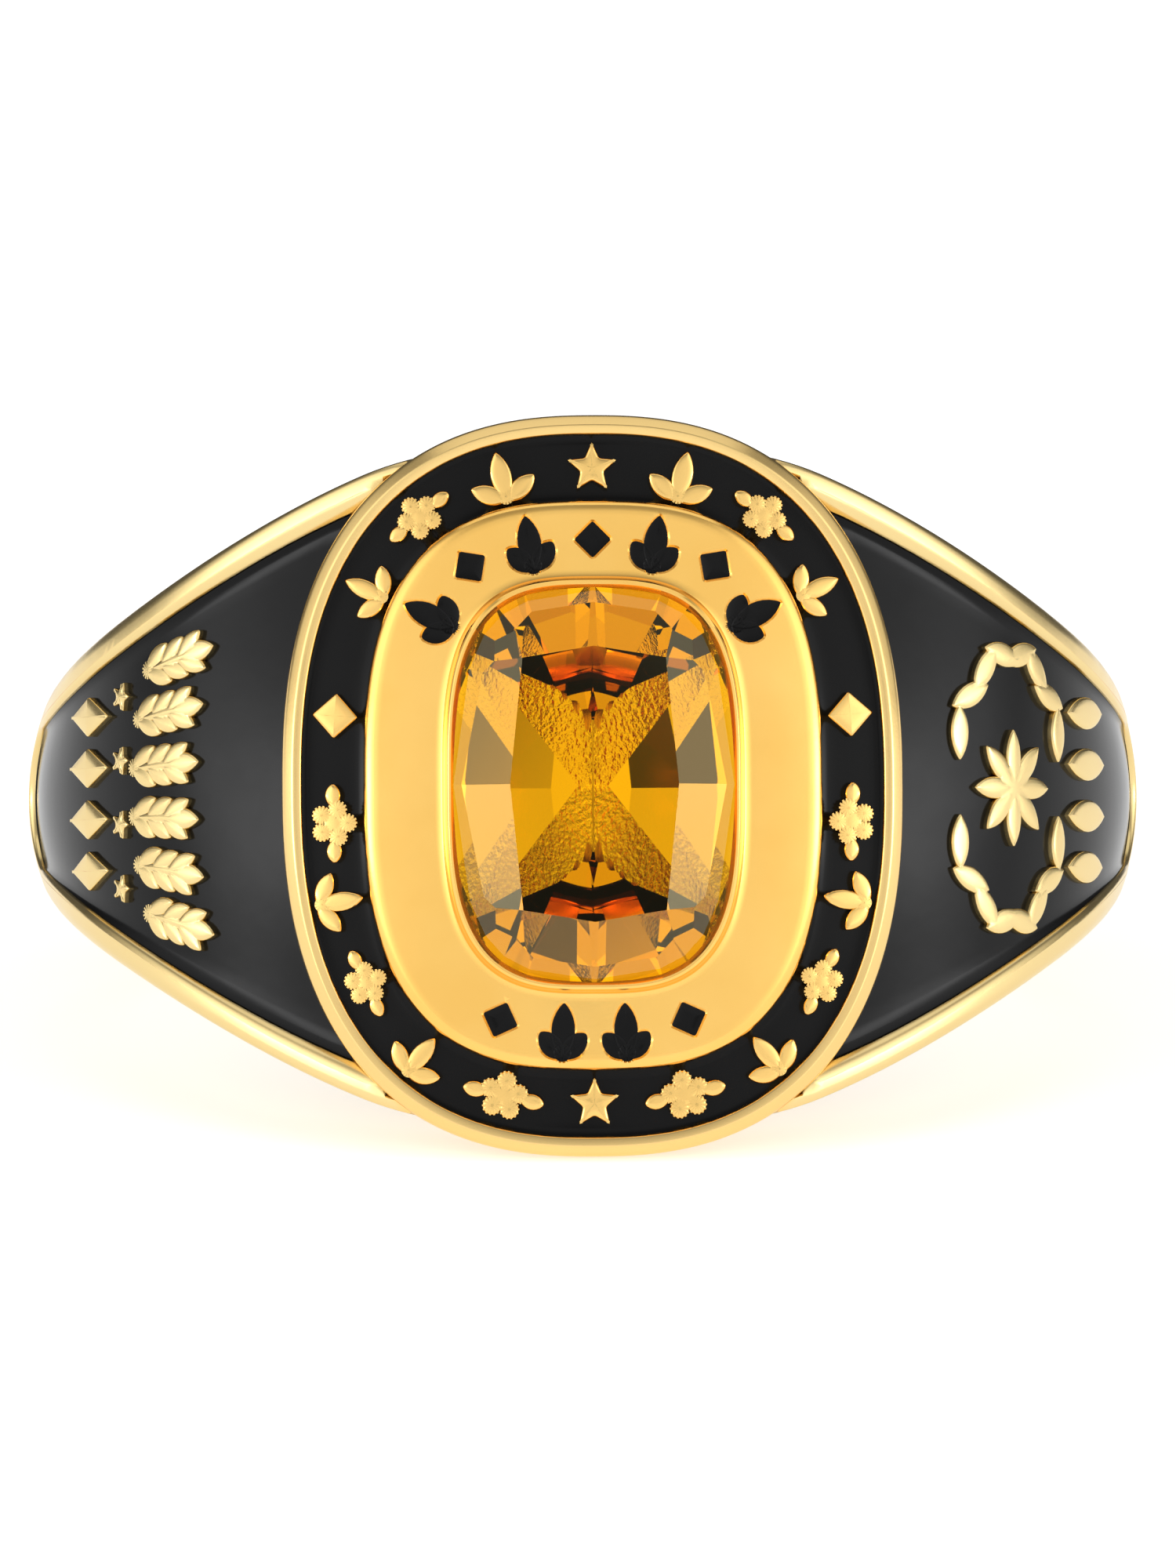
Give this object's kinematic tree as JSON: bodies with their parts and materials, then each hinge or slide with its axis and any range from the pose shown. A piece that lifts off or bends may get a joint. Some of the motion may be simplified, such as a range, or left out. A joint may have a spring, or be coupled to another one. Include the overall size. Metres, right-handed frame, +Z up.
{
  "type": "class ring",
  "caption": "Gold class ring with a yellow cushion-cut stone, an oval head with a black channel, and black shoulder panels with raised leaf ornament.",
  "frame": {"origin": "centre of the finger hole", "axes": "the ring lies on its side: +Z up, -Y the way the head faces, X across the finger; the head is tipped up as the ring rests"},
  "size_m": [0.0244, 0.0261, 0.0156],
  "materials": {
    "gold": "polished yellow gold",
    "black_enamel": "glossy",
    "yellow_stone": "faceted and polished"
  },
  "bodies": {
    "root": {"ring_casting": "gold", "channel_enamel": "black_enamel", "left_panel_enamel": "black_enamel", "right_panel_enamel": "black_enamel", "plate_inlays": "black_enamel", "stone": "yellow_stone"}
  },
  "joints": []
}
